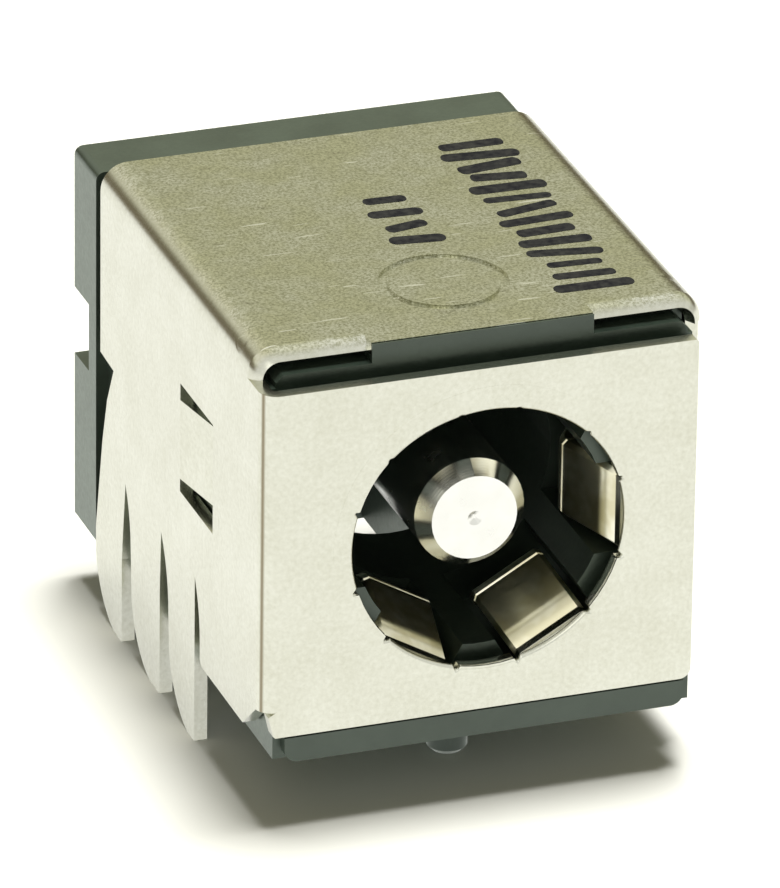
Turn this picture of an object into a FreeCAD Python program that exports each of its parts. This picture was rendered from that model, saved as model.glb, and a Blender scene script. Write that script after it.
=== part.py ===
import FreeCAD, Part
import math
import os
import types

import Sketcher

# Board-mounted power jack for a round plug with a hollow 5.5 mm barrel.
# X runs across the jack, Y runs from the front plate into the jack, Z is up.
# The origin lies on the board plane, below the plug axis, at the front plate's outer face.

# Sizes in millimetres. Each name becomes a word in the sheet.
SIZES = [
    ("axis_height", 4.75, "plug axis above the board"),
    # folded sheet
    ("sheet", 0.3, "sheet thickness"),
    ("shield_half", 5.1, "half of the shield's outer width"),
    ("shield_top", 9.36, "upper face of the shield"),
    ("top_bend", 0.62, "outer radius of the bends along the top"),
    ("top_gap", 0.47, "rear edge of top and walls in front of the flange"),
    ("lip_bend", 0.45, "outer radius of the front lips"),
    ("lip_turn", 60.0, "how far the lips are turned down, degrees"),
    ("lip_start", 1.15, "where the lips begin to turn down"),
    ("tongue_half", 2.5, "half width of the straight middle edge"),
    ("middle_front", 0.635, "front edge of the top between the lips"),
    ("fold_bend", 0.4, "outer radius of the fold between plate and wall"),
    ("plate_inset", 0.41, "free edge of the front plate inside the right wall's outer face"),
    ("plate_low", 0.64, "lower edge of the front plate"),
    ("plate_high", 8.7, "upper edge of the front plate"),
    ("plate_corner", 0.25, "rounding of the plate's free lower corner"),
    ("plate_nick", 0.05, "cut at the plate's free upper corner"),
    # side walls and legs
    ("wall_low", 0.47, "lower edge of the walls before the first leg"),
    ("wall_heel", 1.2, "lower end of the front fold"),
    ("heel_rise", 0.1, "rise of the fold's lower end towards the plate"),
    ("heel_reach", 0.25, "how far the plate reaches under the fold at the heel"),
    ("heel_drop", 0.05, "how far that reach lies below the fold's lower end"),
    ("foot_reach", 0.14, "how far the plate reaches under the fold near its lower edge"),
    ("foot_bevel", 0.05, "bevel of the plate's lower left corner"),
    ("wall_heel_back", 1.27, "where the lower wall edge begins"),
    ("leg_tip", -1.56, "leg tips below the board plane"),
    ("leg_tip_run", 1.26, "length of the rounded rear part of a leg tip"),
    ("leg_tip_rise", 1.4, "height of the rounded rear part of a leg tip"),
    ("leg_tip_bend", 1.75, "radius of the rounded rear part of a leg tip"),
    ("slit_top", 2.43, "upper end of the slits beside the legs"),
    ("slit_bend", 3.0, "radius of the curved slit side"),
    ("slit_foot", 1.0, "where the curved slit side begins"),
    ("slit_spread", 0.06, "widening of the slits from foot to leg"),
    ("heel_bend", 0.18, "radius where the lower wall edge meets the first slit"),
    ("slit_one_front", 4.18, "front side of the first slit"),
    ("leg_one_front", 4.54, "front edge of the first leg"),
    ("leg_one_rear", 6.3, "rear edge of the first leg"),
    ("slit_two_peak", 6.87, "peak of the second slit"),
    ("leg_two_front", 6.95, "front edge of the second leg"),
    ("leg_two_rear", 8.94, "rear edge of the second leg"),
    ("slit_three_peak", 9.38, "peak of the third slit"),
    ("leg_three_front", 9.63, "front edge of the third leg"),
    ("leg_three_behind", 0.31, "rear edge of the third leg behind the wall's rear edge"),
    ("rear_step", 0.46, "how far the rear edge steps forward above the third leg"),
    ("rear_step_high", 2.76, "upper end of that step"),
    ("notch_depth", 0.94, "depth of the notch in the rear wall edge"),
    ("notch_low", 3.89, "lower end of the notch"),
    ("notch_high", 4.86, "upper side of the notch"),
    ("notch_slope", 0.06, "rise of the notch's upper side"),
    # lanced tabs
    ("tab_front", 3.35, "front end of the lanced window"),
    ("tab_rear", 5.58, "hinge of the lanced tab"),
    ("tab_low", 4.0, "lower side of the lanced window"),
    ("tab_high", 6.58, "upper side of the lanced window"),
    ("tab_slit_low", 0.3, "slit below the tab"),
    ("tab_slit_high", 0.4, "slit above the tab"),
    ("tab_gap", 0.1, "gap at the tab's free end"),
    ("tab_press", 0.36, "how far the free end is pressed inward"),
    # plate opening and contact fingers
    ("hole_radius", 3.09, "round hole in the front plate"),
    ("finger_half", 0.9, "half width of a finger"),
    ("finger_bevel", 0.1, "bevel of a finger's long edges"),
    ("finger_root", 3.39, "distance of the finger's bend line from the axis"),
    ("finger_bend", 0.34, "outer radius of the finger's root bend"),
    ("finger_anchor", 0.15, "overlap of a finger with the plate"),
    ("finger_grip", 2.45, "distance of the gripping ridge from the axis"),
    ("finger_grip_depth", 2.27, "depth of the gripping ridge"),
    ("finger_grip_bend", 0.6, "radius of the gripping ridge"),
    ("finger_end", 2.94, "distance of the finger's end from the axis"),
    ("finger_end_depth", 2.9, "depth of the finger's end"),
    ("relief_width", 0.08, "width of the relief beside a finger's root"),
    ("relief_reach", 3.16, "distance of the relief's end from the axis"),
    # coined ring
    ("ring_depth_back", 3.1, "centre of the coined ring behind the plate"),
    ("ring_inner", 1.22, "inner radius of the coined ring"),
    ("ring_outer", 1.42, "outer radius of the coined ring"),
    ("ring_sink", 0.06, "depth of the coined ring"),
    # moulding
    ("side_gap", 0.05, "clearance between moulding and walls"),
    ("corner_bevel", 0.2, "bevel of the moulding's front corners"),
    ("rear_wall", 1.2, "wall between the cavity and the terminal's recess"),
    ("flange_behind", 0.45, "front face of the flange behind the recess floor"),
    ("flange_thick", 1.55, "thickness of the flange"),
    ("flange_inset", 0.05, "flange inside the shield's outer width"),
    ("flange_top", 8.96, "top of the flange"),
    ("flange_corner", 0.2, "rounding of the flange corners"),
    ("flange_notch_low", 3.94, "lower side of the flange notch"),
    ("flange_notch_high", 5.56, "upper side of the flange notch"),
    ("flange_notch_run", 1.03, "length of the flange notch from the rear"),
    ("flange_notch_depth", 1.2, "depth of the flange notch across the jack"),
    ("base_inset", 0.54, "base lip inside the shield's outer width"),
    ("base_front", 0.04, "front face of the base lip"),
    ("base_gap", 0.06, "clearance under the front plate"),
    ("base_corner", 0.3, "rounding of the base lip"),
    ("ledge_gap", 0.085, "clearance between the lips and the ledge under them"),
    ("step_low", 8.5, "lower end of the front face's upper part"),
    ("tongue_front", 0.58, "front face of the tongue"),
    ("tongue_gap", 0.02, "clearance between tongue and sheet"),
    ("cavity_radius", 2.82, "cavity between the finger pockets"),
    ("cavity_depth", 10.0, "rear wall of the cavity"),
    ("mouth_radius", 3.3, "wider mouth behind the plate"),
    ("mouth_depth", 0.55, "depth of the ribs' front ends"),
    ("pocket_radius", 3.6, "floor of the finger pockets"),
    ("pocket_half", 1.08, "half width of the finger pockets"),
    ("pocket_depth", 3.9, "rear end of the finger pockets"),
    ("window_left", -2.0, "left side of the floor window"),
    ("window_right", 0.6, "right side of the floor window"),
    ("window_front", 6.25, "front side of the floor window"),
    ("window_rear", 9.8, "rear side of the floor window"),
    ("under_half", 3.9, "half width of the hollow underside"),
    ("under_front", 5.3, "front end of the hollow underside"),
    ("under_rear", 10.9, "rear end of the hollow underside"),
    ("under_deep", 0.6, "height of the hollow underside"),
    ("boss_radius", 0.45, "locating boss"),
    ("boss_back", 2.45, "locating boss behind the plate"),
    ("boss_tip", -1.5, "end of the locating boss"),
    ("boss_bevel", 0.12, "bevel at the boss end"),
    ("tab_room", 0.1, "clearance around the tab in its pocket"),
    # pin and terminal
    ("pin_radius", 1.25, "centre pin"),
    ("pin_tip", 0.9, "flat end of the pin"),
    ("pin_tip_radius", 0.97, "radius of the pin's flat end"),
    ("pin_shoulder", 1.28, "where the pin reaches its full radius"),
    ("pin_dome", 0.04, "rise of the pin's flat end"),
    ("pin_dome_bend", 12.0, "radius of the pin's flat end"),
    ("dimple_radius", 0.17, "turning mark in the pin's flat end"),
    ("dimple_depth", 0.08, "depth of the turning mark"),
    ("neck_radius", 0.8, "neck of the pin"),
    ("neck_gap", 0.02, "clearance around the neck"),
    ("rivet_radius", 1.05, "riveted head"),
    ("rivet_height", 0.4, "height of the riveted head"),
    ("rivet_bend", 1.6, "radius of the riveted head's dome"),
    ("recess_half", 1.3, "half width of the terminal's recess"),
    ("strip", 0.4, "thickness of the terminal"),
    ("strip_half", 1.15, "half width of the terminal"),
    ("tail_half", 0.6, "half width of the terminal's tail"),
    ("tail_top", 0.4, "upper end of the tail"),
    ("tail_bevel", 0.25, "bevel at the end of the tail"),
]

# Room left outside a body by a cut, so that the cut leaves no skin.
CLEAR = 0.6

# Overlap of two forms that join into one body.
MERGE = 0.1

doc = FreeCAD.newDocument("barrel_jack")
sheet = doc.addObject("Spreadsheet::Sheet", "Sizes")
for row, (word, value, note) in enumerate(SIZES, start=1):
    sheet.set(f"A{row}", word)
    sheet.set(f"B{row}", str(value))
    sheet.set(f"C{row}", note)
    sheet.setAlias(f"B{row}", word)
doc.recompute()


class Size:
    """A size that carries its number and the sheet expression it comes from."""

    def __init__(self, value, text):
        self.value = value
        self.text = text

    def __add__(self, other):
        other = as_size(other)
        return Size(self.value + other.value, f"({self.text} + {other.text})")

    def __sub__(self, other):
        other = as_size(other)
        return Size(self.value - other.value, f"({self.text} - {other.text})")

    def __mul__(self, number):
        return Size(self.value * number, f"({self.text} * {number})")

    def __truediv__(self, number):
        return Size(self.value / number, f"({self.text} / {number})")

    def __neg__(self):
        return self * -1

    __radd__ = __add__


def as_size(thing):
    """A plain number as a size."""
    return thing if isinstance(thing, Size) else Size(float(thing), f"{thing}")


def sine(angle):
    return Size(math.sin(math.radians(angle.value)), f"sin({angle.text} * 1deg)")


def cosine(angle):
    return Size(math.cos(math.radians(angle.value)), f"cos({angle.text} * 1deg)")


def times(first, second):
    return Size(first.value * second.value, f"({first.text} * {second.text})")


def root_of_difference(first, second):
    """The other short side of a right triangle with hypotenuse first and side second."""
    return Size(math.sqrt(first.value ** 2 - second.value ** 2),
                f"sqrt({first.text} * {first.text} - {second.text} * {second.text})")


s = types.SimpleNamespace(**{word: Size(value, f"Sizes.{word}") for word, value, note in SIZES})


def plane_of(body, role):
    """One of the body's own origin planes."""
    for feature in body.Origin.OriginFeatures:
        if feature.Role == role:
            return feature
    raise RuntimeError(f"{body.Name} has no {role}")


def new_body(label):
    body = doc.addObject("PartDesign::Body", label)
    body.Label = label
    return body


def arc_between(start, end, radius):
    """The short arc from start to end; a positive radius turns to the left."""
    chord = end - start
    reach = math.sqrt(max(radius ** 2 - (chord.Length / 2) ** 2, 0.0))
    left = FreeCAD.Vector(-chord.y, chord.x, 0).normalize()
    centre = (start + end) / 2 + left * (reach if radius > 0 else -reach)
    first, last = (start, end) if radius > 0 else (end, start)
    angles = [math.atan2(p.y - centre.y, p.x - centre.x) for p in (first, last)]
    circle = Part.Circle(centre, FreeCAD.Vector(0, 0, 1), abs(radius))
    return Part.ArcOfCircle(circle, angles[0], angles[1])


def tie(drawing, kind, position, value):
    """A dimension of a sketch that follows the sheet."""
    index = drawing.addConstraint(Sketcher.Constraint(kind, *position, value.value))
    drawing.setExpression(f"Constraints[{index}]", value.text)


def new_sketch(body, name, role, along=0.0, centre=(0.0, 0.0)):
    """A sketch parallel to an origin plane, at a place along that plane's axis."""
    drawing = body.newObject("Sketcher::SketchObject", name)
    drawing.AttachmentSupport = [(plane_of(body, role), "")]
    drawing.MapMode = "FlatFace"
    lift = as_size(along)
    if role == "XZ_Plane":
        lift = -lift
    shift = [as_size(centre[0]), as_size(centre[1]), lift]
    drawing.AttachmentOffset = FreeCAD.Placement(
        FreeCAD.Vector(*[item.value for item in shift]), FreeCAD.Rotation())
    for letter, item in zip("xyz", shift):
        drawing.setExpression(f"AttachmentOffset.Base.{letter}", item.text)
    return drawing


def add_piece(drawing, start, end, radius=None):
    """A line or an arc, with the numbers of its first and last point."""
    if radius is None:
        return drawing.addGeometry(Part.LineSegment(start, end), False), 1, 2
    piece = drawing.addGeometry(arc_between(start, end, radius.value), False)
    tie(drawing, "Radius", (piece,), radius if radius.value > 0 else -radius)
    return (piece, 1, 2) if radius.value > 0 else (piece, 2, 1)


def tie_point(drawing, piece, end, x, y):
    tie(drawing, "DistanceX", (-1, 1, piece, end), as_size(x))
    tie(drawing, "DistanceY", (-1, 1, piece, end), as_size(y))


def add_outline(drawing, corners, closed=True):
    """An outline or open path. A corner (x, y, radius) is reached by an arc of that radius."""
    corners = [tuple(as_size(item) for item in corner) for corner in corners]
    points = [FreeCAD.Vector(corner[0].value, corner[1].value, 0) for corner in corners]
    reached = range(0 if closed else 1, len(corners))
    ends = [add_piece(drawing, points[number - 1], points[number], *corners[number][2:])
            for number in reached]
    for number, (piece, first, last) in zip(reached, ends):
        if closed or number + 1 < len(corners):
            following = ends[(number + 1 - reached[0]) % len(ends)]
            drawing.addConstraint(
                Sketcher.Constraint("Coincident", piece, last, following[0], following[1]))
        tie_point(drawing, piece, last, *corners[number][:2])
    if not closed:
        tie_point(drawing, ends[0][0], ends[0][1], *corners[0][:2])


def add_circle(drawing, x, y, radius):
    centre = FreeCAD.Vector(as_size(x).value, as_size(y).value, 0)
    piece = drawing.addGeometry(
        Part.Circle(centre, FreeCAD.Vector(0, 0, 1), radius.value), False)
    tie(drawing, "Radius", (piece,), radius)
    tie_point(drawing, piece, 3, x, y)


def extrude(kind, body, name, role, start, end, outlines=(), circles=(), centre=(0.0, 0.0)):
    """Adds (Pad) or removes (Pocket) an outline between two places along a plane's axis."""
    drawing = new_sketch(body, name + "_sketch", role, start, centre)
    for outline in outlines:
        add_outline(drawing, outline)
    for circle in circles:
        add_circle(drawing, *circle)
    feature = body.newObject(f"PartDesign::{kind}", name)
    feature.Profile = drawing
    length = as_size(end) - start
    feature.Length = length.value
    feature.setExpression("Length", length.text)
    against_normal = role == "XZ_Plane"
    feature.Reversed = against_normal if kind == "Pad" else not against_normal
    drawing.Visibility = False
    doc.recompute()
    return feature


def box_outline(left, low, right, high):
    return [(left, low), (right, low), (right, high), (left, high)]


def polar_copies(body, name, originals, drawing, count):
    """Copies around the centre of a sketch."""
    pattern = body.newObject("PartDesign::PolarPattern", name)
    pattern.Originals = originals
    pattern.Axis = (drawing, ["N_Axis"])
    pattern.Angle = 360
    pattern.Occurrences = count
    body.Tip = pattern
    doc.recompute()
    return pattern


def mirror_copies(body, name, originals):
    """Copies on the other side of the plane through the plug axis."""
    mirror = body.newObject("PartDesign::Mirrored", name)
    mirror.Originals = originals
    mirror.MirrorPlane = (plane_of(body, "YZ_Plane"), [""])
    body.Tip = mirror
    doc.recompute()
    return mirror


FINGERS = 6

# Places that several pieces share.
recess_floor = s.cavity_depth + s.rear_wall
body_rear = recess_floor + s.flange_behind
flange_rear = body_rear + s.flange_thick
flange_half = s.shield_half - s.flange_inset
top_rear = body_rear - s.top_gap
leg_three_rear = top_rear + s.leg_three_behind
plate_right = s.shield_half - s.plate_inset


# Shield: one folded sheet with top, two walls, legs, front plate and contact fingers.

shield = new_body("shield")

wall_inner = s.shield_half - s.sheet
bend_side = s.shield_half - s.top_bend
bend_level = s.shield_top - s.top_bend
inner_bend = s.top_bend - s.sheet
top_under = s.shield_top - s.sheet
legs_limit = leg_three_rear + CLEAR

extrude("Pad", shield, "channel", "XZ_Plane", s.fold_bend, legs_limit, [[
    (-s.shield_half, s.leg_tip),
    (-wall_inner, s.leg_tip),
    (-wall_inner, bend_level),
    (-bend_side, top_under, -inner_bend),
    (bend_side, top_under),
    (wall_inner, bend_level, -inner_bend),
    (wall_inner, s.leg_tip),
    (s.shield_half, s.leg_tip),
    (s.shield_half, bend_level),
    (bend_side, s.shield_top, s.top_bend),
    (-bend_side, s.shield_top),
    (-s.shield_half, bend_level, s.top_bend),
]])

# The fold between left wall and plate.
fold_inner = s.fold_bend - s.sheet
fold_side = s.shield_half - s.fold_bend
extrude("Pad", shield, "fold", "XY_Plane", s.plate_low, s.plate_high, [[
    (-s.shield_half, s.fold_bend),
    (-fold_side, 0.0, s.fold_bend),
    (-fold_side, s.sheet),
    (-wall_inner, s.fold_bend, -fold_inner),
]])

# Above the plate the sheet is open up to the lips, and the right wall begins behind them.
plate_clear = plate_right - CLEAR
extrude("Pocket", shield, "front_opening", "XZ_Plane", -CLEAR, s.lip_start, [[
    (-s.shield_half - CLEAR, s.plate_high),
    (plate_clear, s.plate_high),
    (plate_clear, s.leg_tip - CLEAR),
    (s.shield_half + CLEAR, s.leg_tip - CLEAR),
    (s.shield_half + CLEAR, s.shield_top + CLEAR),
    (-s.shield_half - CLEAR, s.shield_top + CLEAR),
]])


def leg_tip_corners(rear):
    """The rounded rear part of a leg tip, from the flat end up to the rear edge."""
    return [
        (rear - s.leg_tip_run, s.leg_tip - CLEAR),
        (rear - s.leg_tip_run, s.leg_tip),
        (rear, s.leg_tip + s.leg_tip_rise, s.leg_tip_bend),
    ]


below = s.leg_tip - CLEAR
notch_deep = top_rear - s.notch_depth
side_cuts = [
    # below the walls in front of the first leg, with the first slit
    [
        (-CLEAR, below),
        (s.leg_one_front, below),
        (s.leg_one_front, s.slit_top),
        (s.slit_one_front, s.slit_foot, s.slit_bend),
        (s.slit_one_front, s.wall_low + s.heel_bend),
        (s.slit_one_front - s.heel_bend, s.wall_low, -s.heel_bend),
        (s.wall_heel_back, s.wall_low),
        (s.fold_bend, s.wall_heel),
        (-CLEAR, s.wall_heel + s.heel_rise),
    ],
    # second slit, from the first leg's tip to the second leg's front edge
    leg_tip_corners(s.leg_one_rear) + [
        (s.leg_one_rear + s.slit_spread, s.slit_foot),
        (s.slit_two_peak, s.slit_top, -s.slit_bend),
        (s.leg_two_front, s.slit_foot),
        (s.leg_two_front, below),
    ],
    # third slit
    leg_tip_corners(s.leg_two_rear) + [
        (s.leg_two_rear + s.slit_spread, s.slit_foot),
        (s.slit_three_peak, s.slit_top, -s.slit_bend),
        (s.leg_three_front - s.slit_spread, s.slit_foot),
        (s.leg_three_front, s.wall_low),
        (s.leg_three_front, below),
    ],
    # rear edge with its notch and the third leg's rear edge
    leg_tip_corners(leg_three_rear) + [
        (leg_three_rear, s.wall_low),
        (leg_three_rear - s.rear_step, s.rear_step_high),
        (notch_deep + s.rear_step, s.notch_low),
        (notch_deep, s.notch_high - s.notch_slope),
        (top_rear, s.notch_high),
        (top_rear, s.shield_top + CLEAR),
        (legs_limit + CLEAR, s.shield_top + CLEAR),
        (legs_limit + CLEAR, below),
    ],
    # window of the lanced tab
    box_outline(s.tab_front, s.tab_low, s.tab_rear, s.tab_high),
]
extrude("Pocket", shield, "side_cuts", "YZ_Plane",
        -s.shield_half - CLEAR, s.shield_half + CLEAR, side_cuts)

# Lanced tabs, hinged at their rear ends and pressed inward at their free ends.
tab_low = s.tab_low + s.tab_slit_low
tab_high = s.tab_high - s.tab_slit_high
tab = extrude("Pad", shield, "tab", "XY_Plane", tab_low, tab_high, [[
    (-s.shield_half, s.tab_rear + MERGE),
    (-s.shield_half, s.tab_rear),
    (-s.shield_half + s.tab_press, s.tab_front + s.tab_gap),
    (-wall_inner + s.tab_press, s.tab_front + s.tab_gap),
    (-wall_inner, s.tab_rear),
    (-wall_inner, s.tab_rear + MERGE),
]])
mirror_copies(shield, "tabs", [tab])

# Straight middle part of the top's front edge.
extrude("Pad", shield, "middle_edge", "XY_Plane", top_under, s.shield_top, [
    box_outline(-s.tongue_half, s.middle_front, s.tongue_half, s.lip_start + MERGE)])

# Lips beside it: turned down, and carried round the side bends to the plate's height.
lip_inner = s.lip_bend - s.sheet
lip_centre = s.shield_top - s.lip_bend
lip_sketch = new_sketch(shield, "lip_sketch", "YZ_Plane", s.tongue_half)
add_outline(lip_sketch, [
    (s.lip_start, s.shield_top),
    (s.lip_start - times(s.lip_bend, sine(s.lip_turn)),
     lip_centre + times(s.lip_bend, cosine(s.lip_turn)), s.lip_bend),
    (s.lip_start - times(lip_inner, sine(s.lip_turn)),
     lip_centre + times(lip_inner, cosine(s.lip_turn))),
    (s.lip_start, top_under, -lip_inner),
])
lip_path = new_sketch(shield, "lip_path", "XZ_Plane", s.lip_start)
add_outline(lip_path, [
    (s.tongue_half, s.shield_top),
    (bend_side, s.shield_top),
    (s.shield_half, bend_level, -s.top_bend),
    (s.shield_half, s.plate_high),
], closed=False)
lip = shield.newObject("PartDesign::AdditivePipe", "lip")
lip.Profile = lip_sketch
lip.Spine = (lip_path, ["Edge1", "Edge2", "Edge3"])
doc.recompute()
mirror_copies(shield, "lips", [lip])

# Front plate with its round hole.
plate = extrude("Pad", shield, "plate", "XZ_Plane", 0.0, s.sheet, [[
    (-fold_side, s.wall_heel + s.heel_rise),
    (-fold_side - s.heel_reach, s.wall_heel - s.heel_drop),
    (-fold_side - s.foot_reach, s.plate_low + s.foot_bevel),
    (-fold_side - s.foot_reach + s.foot_bevel, s.plate_low),
    (plate_right - s.plate_corner, s.plate_low),
    (plate_right, s.plate_low + s.plate_corner, s.plate_corner),
    (plate_right, s.plate_high - s.plate_nick),
    (plate_right - s.plate_nick, s.plate_high),
    (-fold_side, s.plate_high),
]])
hole = extrude("Pocket", shield, "plate_hole", "XZ_Plane", -CLEAR, s.sheet + CLEAR,
               circles=[(0.0, 0.0, s.hole_radius)], centre=(0.0, s.axis_height))

# The hole is cut on to each finger's bend line, a little wider at first as a relief.
relief_side = s.finger_half + s.relief_width
root_cut = extrude("Pocket", shield, "root_cut", "XZ_Plane", -CLEAR, s.sheet + CLEAR, [[
    (s.hole_radius / 2, -relief_side),
    (s.relief_reach, -relief_side),
    (s.relief_reach, -s.finger_half),
    (s.finger_root, -s.finger_half),
    (s.finger_root, s.finger_half),
    (s.relief_reach, s.finger_half),
    (s.relief_reach, relief_side),
    (s.hole_radius / 2, relief_side),
]], centre=(0.0, s.axis_height))
polar_copies(shield, "root_cuts", [root_cut], hole.Profile[0], FINGERS)

# One finger: root bend, straight run to the gripping ridge, flared end.
finger_profile = new_sketch(shield, "finger_profile", "YZ_Plane", s.finger_root + s.finger_anchor,
                            (0.0, s.axis_height))
add_outline(finger_profile, [
    (0.0, s.finger_bevel - s.finger_half),
    (s.finger_bevel, -s.finger_half),
    (s.sheet, -s.finger_half),
    (s.sheet, s.finger_half),
    (s.finger_bevel, s.finger_half),
    (0.0, s.finger_half - s.finger_bevel),
])

# Its middle line bends twice the same way. The run between the two bends touches both,
# so its lean follows from their centres and radii.
root_radius = s.finger_bend - s.sheet / 2
grip_radius = s.finger_grip_bend - s.sheet / 2
grip_centre = s.finger_grip + s.finger_grip_bend
across = grip_centre.value - s.finger_root.value
along = s.finger_grip_depth.value - s.finger_bend.value
lean = math.atan2(along, across) - math.acos(
    (grip_radius.value - root_radius.value) / math.hypot(across, along))
end_across = s.finger_end.value - grip_centre.value
end_along = s.finger_end_depth.value - s.finger_grip_depth.value
flare = math.atan2(end_along, end_across) + math.acos(
    grip_radius.value / math.hypot(end_across, end_along))


def on_middle_line(centre_x, centre_y, radius, angle):
    return FreeCAD.Vector(centre_x.value + radius.value * math.cos(angle),
                          centre_y.value + radius.value * math.sin(angle), 0)


path_points = [
    FreeCAD.Vector((s.finger_root + s.finger_anchor).value, s.sheet.value / 2, 0),
    FreeCAD.Vector(s.finger_root.value, s.sheet.value / 2, 0),
    on_middle_line(s.finger_root, s.finger_bend, root_radius, math.pi + lean),
    on_middle_line(grip_centre, s.finger_grip_depth, grip_radius, math.pi + lean),
    on_middle_line(grip_centre, s.finger_grip_depth, grip_radius, flare),
    FreeCAD.Vector(s.finger_end.value, s.finger_end_depth.value, 0),
]
finger_path = new_sketch(shield, "finger_path", "XY_Plane", s.axis_height)
path_pieces = [
    add_piece(finger_path, path_points[0], path_points[1]),
    add_piece(finger_path, path_points[1], path_points[2], -root_radius),
    add_piece(finger_path, path_points[2], path_points[3]),
    add_piece(finger_path, path_points[3], path_points[4], -grip_radius),
    add_piece(finger_path, path_points[4], path_points[5]),
]
for (piece, first, last), (following, start, end) in zip(path_pieces, path_pieces[1:]):
    finger_path.addConstraint(Sketcher.Constraint("Tangent", piece, last, following, start))
finger_path.addConstraint(Sketcher.Constraint("Horizontal", path_pieces[0][0]))
tie(finger_path, "DistanceX", (-1, 1, path_pieces[0][0], 1), s.finger_root + s.finger_anchor)
tie_point(finger_path, path_pieces[1][0], 3, s.finger_root, s.finger_bend)
tie_point(finger_path, path_pieces[3][0], 3, grip_centre, s.finger_grip_depth)
tie_point(finger_path, path_pieces[4][0], 2, s.finger_end, s.finger_end_depth)
finger = shield.newObject("PartDesign::AdditivePipe", "finger")
finger.Profile = finger_profile
finger.Spine = (finger_path, [f"Edge{number}" for number in range(1, len(path_pieces) + 1)])
doc.recompute()
polar_copies(shield, "fingers", [finger], hole.Profile[0], FINGERS)

# Coined ring in the top.
extrude("Pocket", shield, "coined_ring", "XY_Plane", s.shield_top - s.ring_sink,
        s.shield_top + CLEAR,
        circles=[(0.0, 0.0, s.ring_inner), (0.0, 0.0, s.ring_outer)],
        centre=(0.0, s.ring_depth_back))


# Housing: one moulding with the plug cavity and the rear flange.

housing = new_body("housing")

body_half = wall_inner - s.side_gap
body_corner_side = body_half - inner_bend
extrude("Pad", housing, "block", "XZ_Plane", s.sheet, body_rear + MERGE, [[
    (-body_half, 0.0),
    (body_half, 0.0),
    (body_half, bend_level),
    (body_corner_side, top_under, inner_bend),
    (-body_corner_side, top_under),
    (-body_half, bend_level, inner_bend),
]])
extrude("Pad", housing, "flange", "XZ_Plane", body_rear, flange_rear, [[
    (-flange_half, 0.0),
    (flange_half, 0.0),
    (flange_half, s.flange_top - s.flange_corner),
    (flange_half - s.flange_corner, s.flange_top, s.flange_corner),
    (-flange_half + s.flange_corner, s.flange_top),
    (-flange_half, s.flange_top - s.flange_corner, s.flange_corner),
]])

# Ledge under the lips, with the tongue standing between them.
lip_reach = s.lip_bend - times(lip_inner, cosine(s.lip_turn)) + s.ledge_gap
ledge_top = s.shield_top - lip_reach
ledge_side = s.shield_half - lip_reach
extrude("Pocket", housing, "front_step", "XZ_Plane", 0.0, s.tongue_front, [
    box_outline(-s.shield_half, s.step_low, s.shield_half, s.shield_top)])
ledge = extrude("Pocket", housing, "ledge", "XZ_Plane", 0.0, s.lip_start + s.ledge_gap, [[
    (s.tongue_half, ledge_top),
    (bend_side, ledge_top),
    (ledge_side, bend_level),
    (ledge_side, s.plate_high - s.ledge_gap),
    (s.shield_half, s.plate_high - s.ledge_gap),
    (s.shield_half, s.shield_top),
    (s.tongue_half, s.shield_top),
]])
mirror_copies(housing, "ledges", [ledge])
extrude("Pad", housing, "tongue", "XZ_Plane", s.tongue_front, s.middle_front - s.tongue_gap, [
    box_outline(-s.tongue_half, ledge_top, s.tongue_half, s.shield_top - s.tongue_gap)])

# Bevelled front corners, clear of the fold.
bevel_side = body_half - s.corner_bevel
bevel_front = s.sheet - s.corner_bevel
corner = extrude("Pocket", housing, "corner_bevel", "XY_Plane", s.plate_low - s.base_gap,
                 ledge_top + CLEAR, [[
    (-bevel_side, s.sheet),
    (-body_half, s.sheet + s.corner_bevel),
    (-body_half - s.corner_bevel, s.sheet + s.corner_bevel),
    (-body_half - s.corner_bevel, bevel_front),
    (-bevel_side, bevel_front),
]])
mirror_copies(housing, "corner_bevels", [corner])

# Base lip under the plate.
base_half = s.shield_half - s.base_inset
extrude("Pad", housing, "base_lip", "XZ_Plane", s.base_front, s.sheet, [[
    (-base_half + s.base_corner, 0.0, s.base_corner),
    (base_half - s.base_corner, 0.0),
    (base_half, s.base_corner, s.base_corner),
    (base_half, s.plate_low - s.base_gap),
    (-base_half, s.plate_low - s.base_gap),
    (-base_half, s.base_corner),
]])

# Plug cavity with its wider mouth and the finger pockets.
cavity = extrude("Pocket", housing, "cavity", "XZ_Plane", 0.0, s.cavity_depth,
                 circles=[(0.0, 0.0, s.cavity_radius)], centre=(0.0, s.axis_height))
extrude("Pocket", housing, "mouth", "XZ_Plane", 0.0, s.mouth_depth,
        circles=[(0.0, 0.0, s.mouth_radius)], centre=(0.0, s.axis_height))
pocket_side = root_of_difference(s.pocket_radius, s.pocket_half)
pocket = extrude("Pocket", housing, "finger_pocket", "XZ_Plane", 0.0, s.pocket_depth, [[
    (s.cavity_radius / 2, -s.pocket_half),
    (pocket_side, -s.pocket_half),
    (pocket_side, s.pocket_half, s.pocket_radius),
    (s.cavity_radius / 2, s.pocket_half),
]], centre=(0.0, s.axis_height))
polar_copies(housing, "finger_pockets", [pocket], cavity.Profile[0], FINGERS)

# Hollow underside and the window through the cavity floor.
extrude("Pocket", housing, "underside", "XY_Plane", -CLEAR, s.under_deep, [
    box_outline(-s.under_half, s.under_front, s.under_half, s.under_rear)])
extrude("Pocket", housing, "floor_window", "XY_Plane", -CLEAR, s.axis_height - s.cavity_radius / 2, [
    box_outline(s.window_left, s.window_front, s.window_right, s.window_rear)])

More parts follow.
